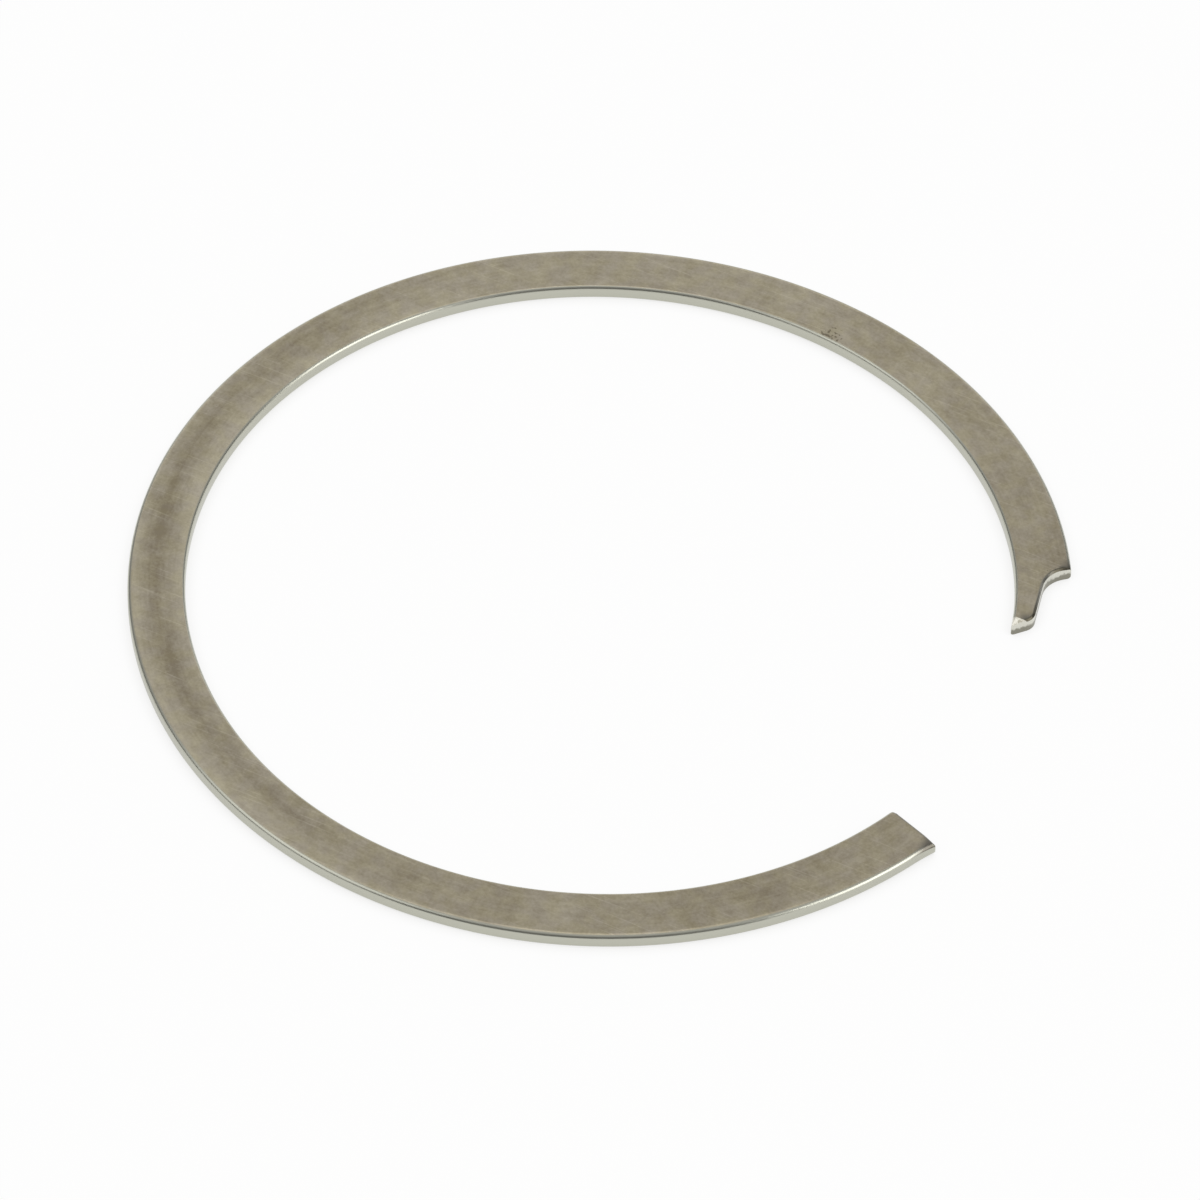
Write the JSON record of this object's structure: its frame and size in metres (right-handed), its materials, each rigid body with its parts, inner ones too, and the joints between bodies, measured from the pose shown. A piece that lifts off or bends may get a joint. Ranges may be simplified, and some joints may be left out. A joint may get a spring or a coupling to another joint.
{
  "type": "retaining ring",
  "caption": "Open flat-wire retaining ring for a housing groove, with a plain cut end and a notched end whose inner tongue takes a removal tool.",
  "frame": {"origin": "on the ring's axis, in the plane of the lower face that it rests on", "axes": "+Z along the ring's axis, up through the thickness; +X through the middle of the gap; +Y on the side of the notched end"},
  "size_m": [0.0631, 0.065, 0.0011],
  "materials": {
    "spring_steel": "satin"
  },
  "bodies": {
    "root": {"retaining_ring": "spring_steel"}
  },
  "joints": []
}
